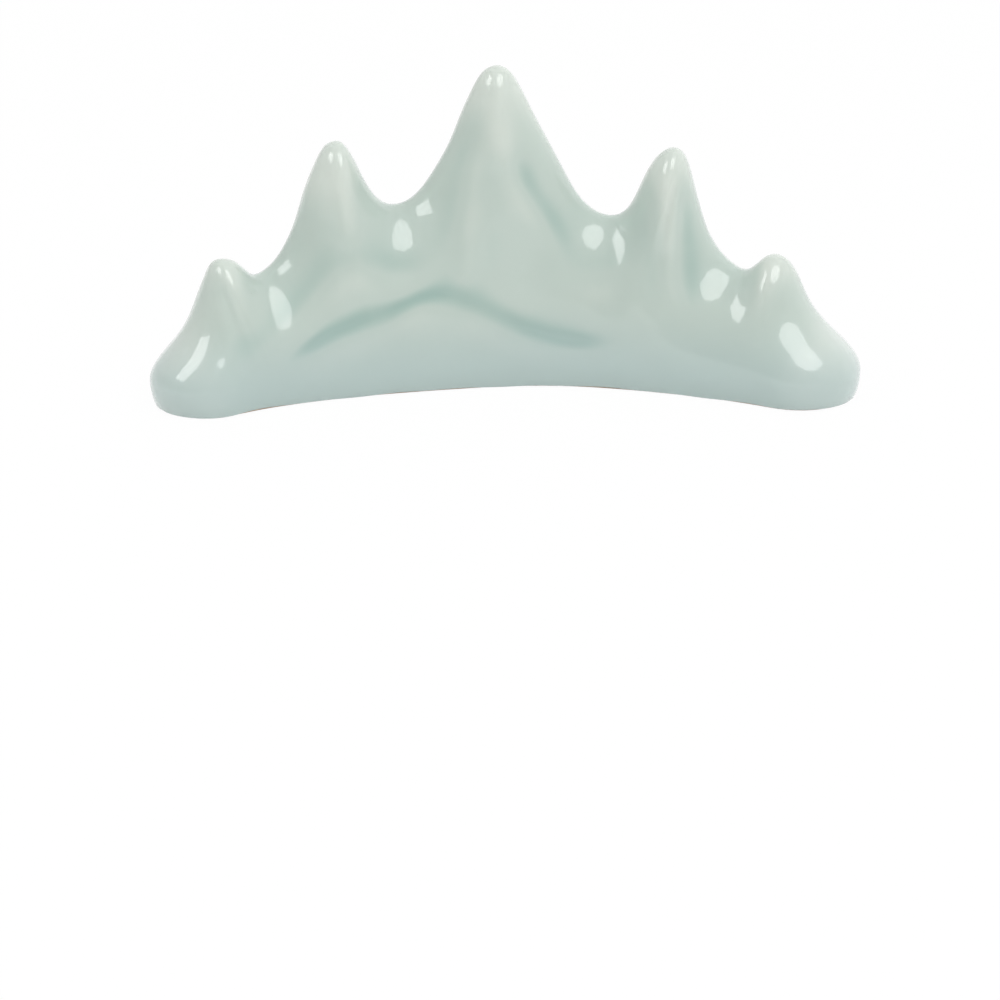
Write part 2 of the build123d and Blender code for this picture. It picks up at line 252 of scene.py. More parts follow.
# %% [markdown]
# ### How deep the folds are
# These are depths in the clay. The glaze fills them, so only a part still shows on top of it, but the
# full depth is kept too: it tells later how thick the glaze lies. A bump texture could not tell that.

# %% Heights and widths of the folds
crease, crease_width = -0.8 * mm, 1.35 * mm
cut, cut_width = -0.3 * mm, 0.75 * mm     # a finer line in the deepest crease
slope, slope_width = -0.42 * mm, 2.6 * mm
shade, shade_lift = -0.25 * mm, -0.8 * mm     # a broad hollow just above a crease
groove, groove_width = -0.5 * mm, 1.7 * mm
faint, faint_width = -0.2 * mm, 2.4 * mm
hill, hill_width, hill_drop = 0.38 * mm, 3.2 * mm, 3.4 * mm     # it swells this far below its crease
rib, rib_width = 0.5 * mm, 1.8 * mm
low_rib = 0.1 * mm
levelling = 0.28              # how much of a fold still shows on top of the glaze
print("crease, mm:", round(crease / mm, 2), "and what shows of it:", round(levelling * crease / mm, 2))

# %% Folds on the front
front_folds = [
    lying_fold(near_hill, crease, crease_width),
    lying_fold(near_hill, cut, cut_width),
    lying_fold(near_hill, shade, slope_width, shade_lift),
    lying_fold(near_hill, hill, hill_width, hill_drop),
    lying_fold(far_hill, slope, slope_width),
    lying_fold(far_hill, rib, slope_width, hill_drop),
    lying_fold(right_hill, shade, slope_width),
    lying_fold(right_hill, rib, slope_width, hill_drop),
    lying_fold(left_hill, faint, faint_width),
    standing_fold(middle_left_groove, cut, groove_width),
    standing_fold(middle_left_rib, rib, rib_width),
    standing_fold(middle_dale, faint, faint_width),
    standing_fold(middle_right_rib, rib, rib_width),
    standing_fold(middle_right_groove, groove, groove_width),
    standing_fold(middle_right_hollow, groove, faint_width),
    standing_fold(fourth_left_groove, cut, faint_width),
    standing_fold(fourth_rib, rib, crease_width),
    standing_fold(fourth_right_groove, groove, groove_width),
    standing_fold(second_rib, low_rib, faint_width),
    standing_fold(second_groove, faint, faint_width),
    standing_fold(first_groove, faint, faint_width)]
print("folds on the front:", len(front_folds))

# %% [markdown]
# ### The back
# The back can't be seen in the picture. It could be left plain, but then it would look cut off. A mould
# maker would carry the front's idea round more simply: one long hill, a dale below each dip and a rib
# below each tall peak.

# %% Folds on the back
back_hill = [
    (-0.66, 0.14), (-0.50, 0.20), (-0.32, 0.255), (-0.12, 0.28), (0.08, 0.265), (0.24, 0.23),
    (0.42, 0.20), (0.58, 0.14)]
back_folds = [
    lying_fold(back_hill, slope, slope_width),
    lying_fold(back_hill, rib, hill_width, hill_drop),
    standing_fold([(-0.68, 0.12), (-0.70, 0.22), (-0.71, 0.33)], slope, slope_width),
    standing_fold([(-0.27, 0.24), (-0.285, 0.36), (-0.295, 0.48)], slope, hill_width),
    standing_fold([(0.25, 0.24), (0.27, 0.34), (0.285, 0.44)], slope, hill_width),
    standing_fold([(0.66, 0.12), (0.67, 0.22), (0.675, 0.32)], slope, slope_width),
    standing_fold([(-0.50, 0.32), (-0.48, 0.50), (-0.47, 0.68)], rib, faint_width),
    standing_fold([(0.03, 0.38), (0.00, 0.60), (-0.015, 0.82)], rib, hill_width),
    standing_fold([(0.49, 0.30), (0.475, 0.48), (0.47, 0.64)], rib, faint_width)]
print("folds on the back:", len(back_folds))


# %% [markdown]
# ## The glaze as one skin
# Fired glaze is a coat of glass about half a millimetre thick. It could be a modifier on the casting,
# but its own skin gives clean quads that run along the ridge, so the reflections flow without dents.
# The skin is drawn as rows of points: each row goes from the front edge over the ridge to the back.

# %% Rows and steps
station_count = 400           # sections along the rest, closer together at its ends
rise_count, under_count = 100, 16     # steps from the ridge to the widest place, and below that
crest_crowding = 0.1
places = (-half_arc * np.cos(math.pi * np.arange(1, station_count) / station_count))[:, None]
steps_down = np.linspace(0, 1, rise_count + 1)[None, :]
steps_under = np.linspace(0, 1, under_count + 1)[None, 1:]
print("points in a section:", 2 * (rise_count + under_count) + 1)


# %% Relief of all folds
def relief(place, high, out, side):
    """Height of all folds together, fading out towards the thin ridge."""
    folds = front_folds if side < 0 else back_folds
    return smooth_step(out / relief_reach) * sum(fold(place, high) for fold in folds)


print("relief fades out where the rest is thinner than, mm:", round(relief_reach / mm, 1))

# %% [markdown]
# ### How thick a section is
# A mountain is rounded the same way all round its ridge: below a peak and below a dip the surface turns
# outwards at the same distance from the ridge line. So the thickness of a section follows that
# distance, and not only the depth below the ridge. Measured straight down it would be too thin in the
# dips, and the highlights there would be drawn out long.

# %% Distance from the ridge
look_shares = np.linspace(-1.2, 1.2, 13)      # where the ridge is looked at, as shares of the drop
look_power = 6                                # how much its nearest part counts
least_reach = 1e-9


def from_ridge(drop):
    """How far each point, this far below the ridge, is from the ridge line's nearest part."""
    reaches = [np.hypot(share * drop, ridge(places + share * drop) - ridge(places) + drop)
               for share in look_shares]
    near = sum(np.maximum(reach, least_reach) ** -look_power for reach in reaches)
    level = sum(math.hypot(1, share) ** -look_power for share in look_shares)
    return np.where(drop > 0, (near / level) ** (-1 / look_power), 0)


sample_drop = 10 * mm
reached = from_ridge(sample_drop) / mm
print("mm below the ridge:", round(sample_drop / mm), "and mm from its nearest part:",
      round(float(reached.min()), 1), "to", round(float(reached.max()), 1))


# %% Edge of the glaze
wander_height, long_wander, short_wander = 0.09 * mm, 5.3 * mm, 2.1 * mm


def edge_wander(place, side):
    """The glaze's lower edge was wiped by hand, so it wanders a little."""
    wave = np.sin(place / long_wander + 2 * side) + 0.6 * np.sin(place / short_wander + side)
    return glaze_stop + wander_height * wave


ends = np.array([edge_wander(places, side) for side in (-1, 1)]) / mm
print("the glaze ends above the table, mm:", round(ends.min(), 2), "to", round(ends.max(), 2))


# %% Points of one side
def one_side(side):
    """Distance across and height of each point, from the ridge down to the glaze's edge."""
    left = half_arc - np.abs(places)
    closing = np.sqrt(round_off(left / end_run))
    half = half_depth * closing * foot_width(places)
    tall = ridge(places) - swell_height
    fall = steps_down * steps_down * (1 + crest_crowding) / (steps_down + crest_crowding)
    stand = tall * (1 - fall)
    away = from_ridge(tall * fall)
    full = np.minimum(2 * crest_radius * (away + stand) / half_depth**2, most_crest)
    full = full + (bulb_fullness - full) * smooth_step((np.abs(places) - bulb_start) / bulb_run)
    part = away / (away + stand)
    square = full * part + (3 - 2 * full) * part**2 + (full - 2) * part**3
    out = half * np.sqrt(np.maximum(square, 0))
    high = swell_height + stand * np.sqrt(round_off(left / tip_run))
    deep = (swell_height + under_run) * closing
    last = np.arcsin(np.clip((swell_height - edge_wander(places, side)) / deep, 0, 1))
    turn = last * steps_under
    out = np.hstack([out, half * np.cos(turn)])
    high = np.hstack([high, swell_height - deep * np.sin(turn)])
    out[:, -1:] = np.where(last >= math.pi / 2, 0.0, out[:, -1:])
    out = out + levelling * relief(places, high, out, side) * (out > 0)
    return side * out, high


front_side, back_side = one_side(-1), one_side(1)
thickness = (back_side[0] - front_side[0]) / mm
print("thickest section, mm:", round(float(thickness.max()), 1))

# %% [markdown]
# ### The crescent
# Seen from above the rest is a crescent whose ends come forward, which keeps it from tipping. A bend
# modifier would do it. Here each section is simply set across the bend, so it stays true to its size,
# and the whole is moved until the skin's depth has the same middle as the solids'.

# %% Bend both sides into place
middle_line = sum(corner[1] for corner in cad_box) / 2


def bent(across, high):
    """Places of points that lie this far outwards from the bend's line."""
    turn = places / plan_radius
    x = (plan_radius + across) * np.sin(turn)
    y = (plan_radius + across) * np.cos(turn) - plan_radius
    return np.stack([x, y, high], -1)


front = bent(*front_side)
back = bent(*back_side)
rows = np.concatenate([front[:, ::-1], back[:, 1:]], axis=1)
poles = []
for sign in (-1, 1):
    turn = sign * half_arc / plan_radius
    tip_x, tip_y = plan_radius * math.sin(turn), plan_radius * math.cos(turn) - plan_radius
    poles.append((tip_x, tip_y, swell_height))
points = np.concatenate([rows.reshape(-1, 3), np.array(poles)])
shift_y = middle_line - (points[:, 1].max() + points[:, 1].min()) / 2
points[:, 1] += shift_y
print("glaze points:", len(points))

# %% Faces between the rows
count, wide = rows.shape[:2]
index = np.arange(count * wide).reshape(count, wide)
quads = np.stack([index[:-1, :-1], index[1:, :-1], index[1:, 1:], index[:-1, 1:]], -1).reshape(-1, 4)
faces = quads.tolist()
left_pole, right_pole = count * wide, count * wide + 1
faces += [(left_pole, int(index[0, k]), int(index[0, k + 1])) for k in range(wide - 1)]
faces += [(right_pole, int(index[-1, k + 1]), int(index[-1, k])) for k in range(wide - 1)]
glaze_mesh = bpy.data.meshes.new("celadon_skin")
glaze_mesh.from_pydata(points.tolist(), [], faces)
print("faces between the rows:", len(faces))

# %% [markdown]
# ### The lip of the glaze
# Glaze draws itself up into a small round bead where it ends above the foot rim. A bevel could round
# the edge, but an open edge has nothing to bevel. So the skin's edge is walked round once, and a few
# rings of points roll it under.

# %% Walk round the open edge
weld_reach, sliver_reach = 0.002 * mm, 0.001 * mm


def edge_loop(mesh):
    """The open edge's points in order."""
    edges = [edge for edge in mesh.edges if edge.is_boundary]
    here = edges[0].verts[0]
    loop, used = [here], set()
    while True:
        ahead = next((e for e in here.link_edges if e.is_boundary and e not in used), None)
        if ahead is None:
            break
        used.add(ahead)
        here = ahead.other_vert(here)
        if here is loop[0]:
            break
        loop.append(here)
    return loop, len(edges)


skin = bmesh.new()
skin.from_mesh(glaze_mesh)
bmesh.ops.remove_doubles(skin, verts=skin.verts, dist=weld_reach)
bmesh.ops.dissolve_degenerate(skin, edges=skin.edges, dist=sliver_reach)
bmesh.ops.recalc_face_normals(skin, faces=skin.faces)
loop, open_edges = edge_loop(skin)
print("open edge:", len(loop), "points of", open_edges)

# %% Roll the edge under
lip_radius = 0.2 * mm
lip_rings = 6
lip_turn = math.radians(150)
spots = np.array([v.co for v in loop])
tangent = np.roll(spots, -1, 0) - np.roll(spots, 1, 0)
outward = np.stack([tangent[:, 1], -tangent[:, 0], np.zeros(len(spots))], -1)
outward /= np.linalg.norm(outward, axis=1)[:, None]
middle = spots.mean(0)
if np.sum(outward * (spots - middle)) < 0:
    outward = -outward
ring_before = loop
for ring in range(1, lip_rings + 1):
    roll = lip_turn * ring / lip_rings
    shift = outward * lip_radius * (math.cos(roll) - 1)
    spots_now = spots + shift - np.array([0, 0, lip_radius * math.sin(roll)])
    ring_now = [skin.verts.new(spot) for spot in spots_now]
    for k in range(len(loop)):
        ahead = (k + 1) % len(loop)
        skin.faces.new([ring_before[k], ring_before[ahead], ring_now[ahead], ring_now[k]])
    ring_before = ring_now
bmesh.ops.recalc_face_normals(skin, faces=skin.faces)
skin.to_mesh(glaze_mesh)
skin.free()
print("glaze faces:", len(glaze_mesh.polygons))


# %% [markdown]
# ### Life in the surface
# No cast and fired piece is true. The clay warps a little and the glaze flows, so straight highlights
# wander. A few dozen long, low waves along the surface's normals do that. Noise from a texture would
# also do, but waves stay smooth at any distance.

# %% Slow waves over the skin
def read_points(mesh, what):
    """Places or normals of a mesh's points as one array."""
    flat = np.empty(len(mesh.vertices) * 3)
    source = mesh.vertices if what == "co" else mesh.vertex_normals
    source.foreach_get("co" if what == "co" else "vector", flat)
    return flat.reshape(-1, 3)


seed = 11
chance = np.random.default_rng(seed)
wave_count, wave_height = 36, 0.016 * mm
shortest_wave, longest_wave = 7.0 * mm, 16.0 * mm
calm_run = 4 * mm             # above the glaze's edge the waves come in over this height
lengths = chance.uniform(shortest_wave, longest_wave, wave_count)
headings = chance.normal(size=(wave_count, 3))
headings /= np.linalg.norm(headings, axis=1)[:, None]
phases = chance.uniform(0, 2 * math.pi, wave_count)
spots = read_points(glaze_mesh, "co")
normals = read_points(glaze_mesh, "normal")
waves = np.sin(spots @ (headings / lengths[:, None] * 2 * math.pi).T + phases).sum(1) * wave_height
waves *= smooth_step((spots[:, 2] - 2 * glaze_stop) / calm_run)
spots = spots + normals * waves[:, None]
glaze_mesh.vertices.foreach_set("co", spots.ravel())
glaze_mesh.update()
print("waves, mm:", round(float(waves.min() / mm), 3), "to", round(float(waves.max() / mm), 3))

# %% [markdown]
# ### Where the glaze lies thick
# Molten glaze runs off crests and pools in creases, and celadon shows it: thin glaze is pale, thick
# glaze is deeper and bluer. How hollow the surface is around a point says how thick the glaze lies
# there. A pointiness node could say it to one renderer only. Here it is measured by smoothing a copy of
# the skin and asking how far each point moved, and it is kept as a value on every point.

# %% Measure hollows and crests
pairs = np.empty(len(glaze_mesh.edges) * 2, int)
glaze_mesh.edges.foreach_get("vertices", pairs)
one, two = pairs.reshape(-1, 2).T
neighbours = np.bincount(np.concatenate([one, two]), minlength=len(spots))[:, None] + 1.0


def smoothed(values, rounds):
    """Each point's value after being shared with its neighbours this many times."""
    for _ in range(rounds):
        total = values.copy()
        for axis in range(values.shape[1]):
            total[:, axis] += np.bincount(one, values[two, axis], len(values))
            total[:, axis] += np.bincount(two, values[one, axis], len(values))
        values = total / neighbours
    return values


broad_rounds, soft_rounds = 70, 12
full_hollow = 0.30 * mm       # a move of this much counts as a full hollow
normals = read_points(glaze_mesh, "normal")
moved = smoothed(spots, broad_rounds) - spots
hollow = (moved * normals).sum(1) / full_hollow
hollow = smoothed(np.clip(hollow, -1.5, 1.0)[:, None], soft_rounds)[:, 0]
print("hollow, from", round(float(hollow.min()), 2), "to", round(float(hollow.max()), 2))

# %% Folds under the glaze
fold_rounds = 20
from_centre = spots[:, 1] + plan_radius - shift_y
place = plan_radius * np.arctan2(spots[:, 0], from_centre)
across = np.hypot(spots[:, 0], from_centre) - plan_radius
folded = np.where(across < 0, relief(place, spots[:, 2], np.abs(across), -1),
                  relief(place, spots[:, 2], np.abs(across), 1))
folded = smoothed(folded[:, None], fold_rounds)[:, 0]
fold_range = [round(float(value / mm), 2) for value in (folded.min(), folded.max())]
print("folds under the glaze, mm:", fold_range)

# %% Depth of the glaze
even_depth = 0.5
hollow_share, crest_share = 0.08, 0.18    # what a full hollow adds, and a full crest takes away
hump_share, furrow_share = 0.28, 0.64     # the same for a fold of one millimetre
end_share = 0.25                          # the glaze runs off the two round ends
end_start, end_fade = 50 * mm, 8 * mm
off_end = smooth_step((np.abs(place) - end_start) / end_fade)
pooled = even_depth + np.where(hollow > 0, hollow_share, crest_share) * hollow
pooled -= np.where(folded > 0, hump_share, furrow_share) * folded / mm + end_share * off_end
pooled = np.clip(pooled, 0, 1)
depth = glaze_mesh.attributes.new("glaze_depth", "FLOAT", "POINT")
depth.data.foreach_set("value", pooled.astype(np.float32))
print("glaze depth, shares of points under 0.3 and over 0.7:",
      round(float((pooled < 0.3).mean()), 3), round(float((pooled > 0.7).mean()), 3))

# %% [markdown]
# ### The skin takes the plain coat's place
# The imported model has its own, plainer coat of glaze. The skin replaces it and rides with the rest, so
# there is one coat and not two in the same place.

# %% The skin as a piece
glaze_mesh.polygons.foreach_set("use_smooth", np.ones(len(glaze_mesh.polygons), bool))
glaze = bpy.data.objects.new("celadon_skin", glaze_mesh)
bpy.context.collection.objects.link(glaze)
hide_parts("celadon_glaze")
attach(glaze, "root")
print("glaze skin, mm:", [round(side / mm, 1) for side in glaze.dimensions])


# %% [markdown]
# ## Colours and node helpers
# Colours are noted as they look on screen, from 0 to 255, and turned into the light values that a
# shader wants. Small helpers keep the node trees short enough to read.

# %% Colours and nodes
def tone(red, green, blue):
    """A screen colour as a shader colour."""
    parts = [value / 255 for value in (red, green, blue)]
    parts = [p / 12.92 if p <= 0.04045 else ((p + 0.055) / 1.055) ** 2.4 for p in parts]
    return (*parts, 1.0)


def node(tree, kind, **settings):
    """A new node with its settings."""
    made = tree.nodes.new(kind)
    for name, value in settings.items():
        setattr(made, name, value)
    return made


def ramp(tree, source, stops):
    """A colour ramp fed by a value; stops are (position, colour)."""
    made = node(tree, "ShaderNodeValToRGB")
    made.color_ramp.interpolation = "EASE"
    marks = made.color_ramp.elements          # a new ramp has two of them
    for k, (position, colour) in enumerate(stops):
        mark = marks[k] if k < 2 else marks.new(position)
        mark.position, mark.color = position, colour
    tree.links.new(source, made.inputs[0])
    return made.outputs[0]


def fresh_material(name):
    """A material with its Principled shader."""
    made = bpy.data.materials.new(name)
    made.use_nodes = True
    return made, made.node_tree, made.node_tree.nodes["Principled BSDF"]


print("a light celadon as light values:", [round(part, 3) for part in tone(189, 202, 194)])

# %% [markdown]
# ## Drift and specks, for glaze and clay alike
# Two effects are on more than one surface: a slow drift of tone, as the fire leaves it, and tiny dark
# specks of iron. They could be painted on a picture, but noise in space needs no unwrapping and stays
# sharp close by. Each is a node group with its own inputs, so that every material can use it in its
# own strength.

# %% Group: slow drift of tone
def group(name, inputs, outputs):
    """An empty node group whose sockets are all plain values."""
    tree = bpy.data.node_groups.new(name, "ShaderNodeTree")
    for label, value in inputs:
        socket = tree.interface.new_socket(label, in_out="INPUT", socket_type="NodeSocketFloat")
        socket.default_value = value
    for label in outputs:
        tree.interface.new_socket(label, in_out="OUTPUT", socket_type="NodeSocketFloat")
    return tree, node(tree, "NodeGroupInput"), node(tree, "NodeGroupOutput")


drift, inside, result = group("kiln_drift", [("Scale", 60.0), ("Amount", 0.1)], ["Drift"])
place = node(drift, "ShaderNodeNewGeometry")
clouds = node(drift, "ShaderNodeTexNoise")
clouds.inputs["Detail"].default_value = 4
level = node(drift, "ShaderNodeMath", operation="SUBTRACT")
level.inputs[1].default_value = 0.5
amount = node(drift, "ShaderNodeMath", operation="MULTIPLY")
drift.links.new(place.outputs["Position"], clouds.inputs["Vector"])
drift.links.new(inside.outputs["Scale"], clouds.inputs["Scale"])
drift.links.new(clouds.outputs[0], level.inputs[0])
drift.links.new(level.outputs[0], amount.inputs[0])
drift.links.new(inside.outputs["Amount"], amount.inputs[1])
drift.links.new(amount.outputs[0], result.inputs["Drift"])
print("nodes in the drift:", len(drift.nodes))

# %% Group: iron specks
specks, inside, result = group("iron_specks", [("Scale", 900.0), ("Size", 0.08)], ["Speck"])
place = node(specks, "ShaderNodeNewGeometry")
cells = node(specks, "ShaderNodeTexVoronoi")
rare = node(specks, "ShaderNodeMath", operation="GREATER_THAN")
rare.inputs[1].default_value = 0.9
near = node(specks, "ShaderNodeMath", operation="LESS_THAN")
both = node(specks, "ShaderNodeMath", operation="MULTIPLY")
chosen = node(specks, "ShaderNodeSeparateColor")
specks.links.new(place.outputs["Position"], cells.inputs["Vector"])
specks.links.new(inside.outputs["Scale"], cells.inputs["Scale"])
specks.links.new(cells.outputs["Color"], chosen.inputs[0])
specks.links.new(chosen.outputs[0], rare.inputs[0])
specks.links.new(cells.outputs["Distance"], near.inputs[0])
specks.links.new(inside.outputs["Size"], near.inputs[1])
specks.links.new(rare.outputs[0], both.inputs[0])
specks.links.new(near.outputs[0], both.inputs[1])
specks.links.new(both.outputs[0], result.inputs["Speck"])
print("nodes in the specks:", len(specks.nodes))


# %% [markdown]
# ## The celadon glaze
# Celadon is glass with a trace of iron. It could be real glass in the shader, but so thin a coat over
# white clay looks the same as a tinted surface, and that is far quicker. Light goes a little way in,
# scatters and comes back, which softens every fold, so the shader gets some subsurface light. A sharp
# coat over a hazier base gives highlights with a crisp core and a soft edge. The tone follows the
# measured depth.

# %% Glaze colour
thin_glaze = tone(216, 221, 213)
even_glaze = tone(189, 202, 194)
deep_glaze = tone(158, 183, 175)
# bluer from glaze that ran down, and darker as painted shade where the foot faces down
foot_glaze_and_shade = tone(177, 195, 193)
celadon, tree, shader = fresh_material("celadon_glaze")
depth_here = node(tree, "ShaderNodeAttribute", attribute_name="glaze_depth")
drifting = node(tree, "ShaderNodeGroup", node_tree=drift)
drifting.inputs["Scale"].default_value = 90.0
drifting.inputs["Amount"].default_value = 0.22
together = node(tree, "ShaderNodeMath", operation="ADD")
tree.links.new(depth_here.outputs["Fac"], together.inputs[0])
tree.links.new(drifting.outputs["Drift"], together.inputs[1])
by_depth = ramp(tree, together.outputs[0], [(0.0, thin_glaze), (0.5, even_glaze), (1.0, deep_glaze)])
print("glaze nodes so far:", len(tree.nodes))

# %% [markdown]
# ### Towards the foot
# Glaze runs down while it is molten, so it is bluer and more even along the foot. The foot's tone is
# also darker than the glaze above it, and that darkness is painted shade where the foot turns down, away
# from the lights. Its thickness could be drawn by hand there, but the height above the table already
# says where it has run to. A few iron specks lie in the glaze too.

# %% Glaze colour towards the foot
place = node(tree, "ShaderNodeNewGeometry")
apart = node(tree, "ShaderNodeSeparateXYZ")
# towards the table the tone turns bluer (run glaze) and darker (painted shade)
low_down = node(tree, "ShaderNodeMapRange", interpolation_type="SMOOTHSTEP")
low_down.inputs["From Min"].default_value = 0.3 * peak_height
low_down.inputs["From Max"].default_value = 0.05 * peak_height
low_down.inputs["To Max"].default_value = 0.75
at_foot = node(tree, "ShaderNodeMix", data_type="RGBA")
at_foot.inputs[7].default_value = foot_glaze_and_shade
tree.links.new(place.outputs["Position"], apart.inputs[0])
tree.links.new(apart.outputs["Z"], low_down.inputs["Value"])
tree.links.new(low_down.outputs[0], at_foot.inputs[0])
tree.links.new(by_depth, at_foot.inputs[6])
speckled = node(tree, "ShaderNodeGroup", node_tree=specks)
speckled.inputs["Scale"].default_value = 260.0
speckled.inputs["Size"].default_value = 0.035
with_specks = node(tree, "ShaderNodeMix", data_type="RGBA")
with_specks.inputs[7].default_value = tone(150, 160, 145)
tree.links.new(speckled.outputs["Speck"], with_specks.inputs[0])
tree.links.new(at_foot.outputs[2], with_specks.inputs[6])
tree.links.new(with_specks.outputs[2], shader.inputs["Base Color"])
print("glaze nodes with the foot's tone and specks:", len(tree.nodes))

# %% [markdown]
# ### Gloss
# The lamps' reflections are sharp, yet the glaze isn't a mirror: it has the faint unevenness of an
# orange's skin. That is too fine to model, so a small bump and a little change in gloss give it.

# %% Glaze gloss and skin
grain = node(tree, "ShaderNodeTexNoise")
grain.inputs["Scale"].default_value = 420.0
grain.inputs["Detail"].default_value = 2
tree.links.new(place.outputs["Position"], grain.inputs["Vector"])
skin_bump = node(tree, "ShaderNodeBump")
skin_bump.inputs["Strength"].default_value = 0.12
skin_bump.inputs["Distance"].default_value = 0.02 * mm
tree.links.new(grain.outputs[0], skin_bump.inputs["Height"])
tree.links.new(skin_bump.outputs[0], shader.inputs["Normal"])
haze = node(tree, "ShaderNodeMapRange")
haze.inputs["To Min"].default_value = 0.16
haze.inputs["To Max"].default_value = 0.26
tree.links.new(grain.outputs[0], haze.inputs["Value"])
tree.links.new(haze.outputs[0], shader.inputs["Roughness"])
shader.inputs["Specular IOR Level"].default_value = 0.25
shader.inputs["Coat Weight"].default_value = 1.0
shader.inputs["Coat Roughness"].default_value = 0.02
shader.inputs["Subsurface Weight"].default_value = 0.35
shader.inputs["Subsurface Radius"].default_value = (1.0, 1.0, 0.95)
shader.inputs["Subsurface Scale"].default_value = 1.6 * mm
glaze_mesh.materials.append(celadon)
print("nodes in the celadon:", len(tree.nodes))

# %% [markdown]
# ## Bare porcelain
# The foot rim and the slab are the fired clay itself: matt, warm, a little gritty, and browner where
# iron came to the surface beside the glaze. The rim was rubbed flat on a wet stone, so it is finer
# than the slab, which was only wiped with a sponge. One plain colour would do from afar, but close by
# clay is known by its grit, so both get drift, specks and a fine bump.

# %% Bare clay
def bare_clay(name, light, dark, grit_scale, grit_height, rubbed):
    """Fired clay without glaze: drift between two tones, specks, and a gritty skin."""
    made, tree, shader = fresh_material(name)
    drifting = node(tree, "ShaderNodeGroup", node_tree=drift)
    drifting.inputs["Scale"].default_value = 140.0
    drifting.inputs["Amount"].default_value = 1.6
    middle = node(tree, "ShaderNodeMath", operation="ADD")
    middle.inputs[1].default_value = 0.5
    tree.links.new(drifting.outputs["Drift"], middle.inputs[0])
    colour = ramp(tree, middle.outputs[0], [(0.0, light), (1.0, dark)])
    speckled = node(tree, "ShaderNodeGroup", node_tree=specks)
    speckled.inputs["Scale"].default_value = 700.0
    speckled.inputs["Size"].default_value = 0.16
    spotted = node(tree, "ShaderNodeMix", data_type="RGBA")
    spotted.inputs[7].default_value = tone(122, 92, 66)
    tree.links.new(speckled.outputs["Speck"], spotted.inputs[0])
    tree.links.new(colour, spotted.inputs[6])
    tree.links.new(spotted.outputs[2], shader.inputs["Base Color"])
    place = node(tree, "ShaderNodeNewGeometry")
    grit = node(tree, "ShaderNodeTexNoise")
    grit.inputs["Scale"].default_value = grit_scale
    grit.inputs["Detail"].default_value = 6
    bump = node(tree, "ShaderNodeBump")
    bump.inputs["Distance"].default_value = grit_height
    bump.inputs["Strength"].default_value = 0.8
    tree.links.new(place.outputs["Position"], grit.inputs["Vector"])
    tree.links.new(grit.outputs[0], bump.inputs["Height"])
    tree.links.new(bump.outputs[0], shader.inputs["Normal"])
    dull = node(tree, "ShaderNodeMapRange")
    dull.inputs["To Min"].default_value = rubbed
    dull.inputs["To Max"].default_value = 0.95
    tree.links.new(grit.outputs[0], dull.inputs["Value"])
    tree.links.new(dull.outputs[0], shader.inputs["Roughness"])
    return made


rim_clay = bare_clay("bare_porcelain", tone(214, 192, 168), tone(186, 152, 122),
                     grit_scale=1500, grit_height=0.05 * mm, rubbed=0.6)
slab_clay = bare_clay("sponged_slab", tone(216, 202, 184), tone(196, 174, 150),
                      grit_scale=500, grit_height=0.12 * mm, rubbed=0.8)
print("nodes in each clay:", len(rim_clay.node_tree.nodes), len(slab_clay.node_tree.nodes))


# %% Dress the rim and the slab
def dress(piece, material):
    """Puts a material in every slot of a solid."""
    for slot in piece.material_slots:
        slot.material = material
    if not piece.material_slots:
        piece.data.materials.append(material)


dress(shell, rim_clay)
dress(slab, slab_clay)
print("dressed:", shell.name, "and", slab.name)

# %% [markdown]
# ## Table and backdrop
# The rest stands on a plain pale table that runs into white. A curved sheet of paper would do it in a
# studio. Here the camera and the reflections see mostly plain white, and a few parts in a hundred of
# the real table, which is enough for a soft shadow, so the rest doesn't float.

# %% Table
table_mesh = bpy.data.meshes.new("table")
spread = 3.0                  # from its middle to its edges
sunk = -0.05 * mm             # a hair below the foot rim, so the two never share a plane
table_corners = [(-spread, -spread, sunk), (spread, -spread, sunk), (spread, spread, sunk),
                 (-spread, spread, sunk)]
table_mesh.from_pydata(table_corners, [], [(0, 1, 2, 3)])
table = bpy.data.objects.new("table", table_mesh)
bpy.context.collection.objects.link(table)
print("table, m across:", 2 * spread)

# %% Table top
paper, tree, shader = fresh_material("white_table")
shader.inputs["Base Color"].default_value = tone(244, 245, 245)
shader.inputs["Roughness"].default_value = 0.9
shader.inputs["Specular IOR Level"].default_value = 0.1
seen = node(tree, "ShaderNodeLightPath")
white = node(tree, "ShaderNodeEmission")
white.inputs["Color"].default_value = (1, 1, 1, 1)
blend = node(tree, "ShaderNodeMixShader")
share = node(tree, "ShaderNodeMath", operation="MULTIPLY")
share.inputs[1].default_value = 0.97
either = node(tree, "ShaderNodeMath", operation="MAXIMUM")
tree.links.new(seen.outputs["Is Camera Ray"], either.inputs[0])
tree.links.new(seen.outputs["Is Glossy Ray"], either.inputs[1])
tree.links.new(either.outputs[0], share.inputs[0])
tree.links.new(share.outputs[0], blend.inputs[0])
tree.links.new(shader.outputs[0], blend.inputs[1])
tree.links.new(white.outputs[0], blend.inputs[2])
print("nodes in the table:", len(tree.nodes))

# %% [markdown]
# ### The table from below
# From below the table isn't there for the camera, so the foot rim and the slab can be looked at. It
# could be hidden by hand for such a picture, but this way nothing has to be switched.

# %% Table seen from below
facet = node(tree, "ShaderNodeNewGeometry")
from_below = node(tree, "ShaderNodeMath", operation="MULTIPLY")
clear = node(tree, "ShaderNodeBsdfTransparent")
opened = node(tree, "ShaderNodeMixShader")
tree.links.new(facet.outputs["Backfacing"], from_below.inputs[0])
tree.links.new(seen.outputs["Is Camera Ray"], from_below.inputs[1])
tree.links.new(from_below.outputs[0], opened.inputs[0])
tree.links.new(blend.outputs[0], opened.inputs[1])
tree.links.new(clear.outputs[0], opened.inputs[2])
tree.links.new(opened.outputs[0], tree.nodes["Material Output"].inputs[0])
table_mesh.materials.append(paper)
print("nodes in the table, with its underside:", len(tree.nodes))

